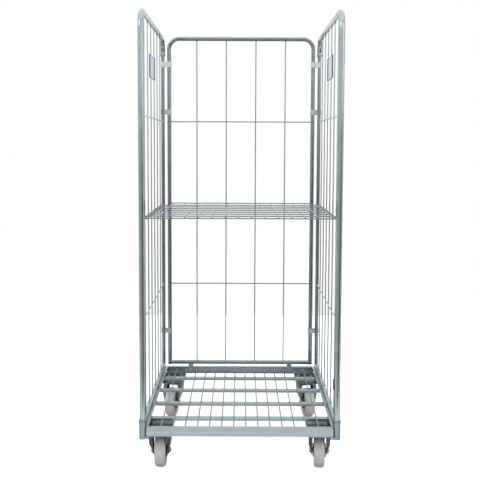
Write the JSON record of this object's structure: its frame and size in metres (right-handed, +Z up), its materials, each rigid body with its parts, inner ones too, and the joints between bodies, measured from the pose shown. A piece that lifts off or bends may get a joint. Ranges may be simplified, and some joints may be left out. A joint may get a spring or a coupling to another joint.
{
  "type": "roll cage container",
  "caption": "Three-sided wire mesh roll container with bent tube panels, a hinged wire shelf and a wheeled steel base for moving goods.",
  "frame": {"origin": "on the floor, under the centre of the bounding box", "axes": "+Z up, +Y from the open front towards the rear panel, +X to the right seen from the open front"},
  "size_m": [0.7316, 0.82, 1.69],
  "materials": {
    "galvanised_steel": "bright electroplated zinc, satin",
    "zinc_hardware": "electroplated zinc, satin",
    "fork_steel": "dull grey-green chromated zinc",
    "wheel_nylon": "moulded polyamide, satin",
    "clip_plastic": "moulded, satin",
    "label_steel": "bare sheet, satin",
    "label_card": "plain pale blue card behind film",
    "black_sleeve": "matt"
  },
  "bodies": {
    "base": {"base_front_beam": "galvanised_steel", "base_rear_beam": "galvanised_steel", "base_right_rail": "galvanised_steel", "base_left_rail": "galvanised_steel", "base_cross_bars": "galvanised_steel", "base_deck_wires": "galvanised_steel", "corner_sockets": "galvanised_steel", "corner_tabs": "galvanised_steel", "castor_mount_plates": "galvanised_steel", "castor_mount_bolts": "zinc_hardware", "castor_mount_nuts": "zinc_hardware", "side_rail_cradles": "galvanised_steel", "rear_panel_cradles": "galvanised_steel", "castor_top_plates": "fork_steel", "castor_kingpins": "zinc_hardware", "castor_swivel_balls": "zinc_hardware"},
    "front_left_castor": {"front_left_fork": "fork_steel", "front_left_axle": "zinc_hardware"},
    "front_left_roller": {"front_left_wheel": "wheel_nylon", "front_left_bush": "zinc_hardware"},
    "front_right_castor": {"front_right_fork": "fork_steel", "front_right_axle": "zinc_hardware"},
    "front_right_roller": {"front_right_wheel": "wheel_nylon", "front_right_bush": "zinc_hardware"},
    "rear_left_castor": {"rear_left_fork": "fork_steel", "rear_left_axle": "zinc_hardware"},
    "rear_left_roller": {"rear_left_wheel": "wheel_nylon", "rear_left_bush": "zinc_hardware"},
    "rear_right_castor": {"rear_right_fork": "fork_steel", "rear_right_axle": "zinc_hardware"},
    "rear_right_roller": {"rear_right_wheel": "wheel_nylon", "rear_right_bush": "zinc_hardware"},
    "left_panel": {"left_hoop": "galvanised_steel", "left_rear_post": "galvanised_steel", "left_collar": "galvanised_steel", "left_bottom_rail": "galvanised_steel", "left_upright_wires": "galvanised_steel", "left_level_wires": "galvanised_steel", "left_label_plate": "label_steel", "left_label_card": "label_card", "left_lock_ring": "galvanised_steel"},
    "right_panel": {"right_hoop": "galvanised_steel", "right_rear_post": "galvanised_steel", "right_collar": "galvanised_steel", "right_bottom_rail": "galvanised_steel", "right_upright_wires": "galvanised_steel", "right_level_wires": "galvanised_steel", "right_label_plate": "label_steel", "right_label_card": "label_card", "right_lock_ring": "galvanised_steel", "right_wire_sleeve": "black_sleeve"},
    "rear_panel": {"rear_hoop": "galvanised_steel", "rear_bottom_tube": "galvanised_steel", "rear_upright_wires": "galvanised_steel", "rear_level_wires": "galvanised_steel", "rear_top_clips": "clip_plastic", "rear_steel_clips": "galvanised_steel"},
    "shelf": {"shelf_cross_wires": "galvanised_steel", "shelf_long_wires": "galvanised_steel"}
  },
  "joints": [
    {"name": "front_left_swivel", "type": "hinge", "parent": "base", "child": "front_left_castor", "pos_m": [-0.297, -0.3143, 0.14], "axis": [0, 0, 1], "continuous": true},
    {"name": "front_left_spin", "type": "hinge", "parent": "front_left_castor", "child": "front_left_roller", "pos_m": [-0.297, -0.2803, 0.0625], "axis": [1, 0, 0], "continuous": true},
    {"name": "front_right_swivel", "type": "hinge", "parent": "base", "child": "front_right_castor", "pos_m": [0.297, -0.3143, 0.14], "axis": [0, 0, 1], "continuous": true},
    {"name": "front_right_spin", "type": "hinge", "parent": "front_right_castor", "child": "front_right_roller", "pos_m": [0.29996, -0.28043, 0.0625], "axis": [0.9962, -0.0872, 0], "continuous": true},
    {"name": "rear_left_swivel", "type": "hinge", "parent": "base", "child": "rear_left_castor", "pos_m": [-0.297, 0.3143, 0.14], "axis": [0, 0, 1], "continuous": true},
    {"name": "rear_left_spin", "type": "hinge", "parent": "rear_left_castor", "child": "rear_left_roller", "pos_m": [-0.3029, 0.28082, 0.0625], "axis": [-0.9848, 0.1736, 0], "continuous": true},
    {"name": "rear_right_swivel", "type": "hinge", "parent": "base", "child": "rear_right_castor", "pos_m": [0.297, 0.3143, 0.14], "axis": [0, 0, 1], "continuous": true},
    {"name": "rear_right_spin", "type": "hinge", "parent": "rear_right_castor", "child": "rear_right_roller", "pos_m": [0.3029, 0.28082, 0.0625], "axis": [-0.9848, -0.1736, 0], "continuous": true},
    {"name": "left_panel_lift", "type": "slide", "parent": "base", "child": "left_panel", "axis": [0, 0, 1], "range_m": [0, 0.05]},
    {"name": "right_panel_lift", "type": "slide", "parent": "base", "child": "right_panel", "axis": [0, 0, 1], "range_m": [0, 0.05]},
    {"name": "rear_panel_lift", "type": "slide", "parent": "base", "child": "rear_panel", "axis": [0, 0, 1], "range_m": [0, 0.024]},
    {"name": "shelf_hinge", "type": "hinge", "parent": "left_panel", "child": "shelf", "pos_m": [-0.3482, 0, 0.941], "axis": [0, -1, 0], "range_deg": [0, 78]}
  ],
  "couplings": [
    {"joint": "right_panel_lift", "follows": "left_panel_lift", "ratio": 1}
  ]
}
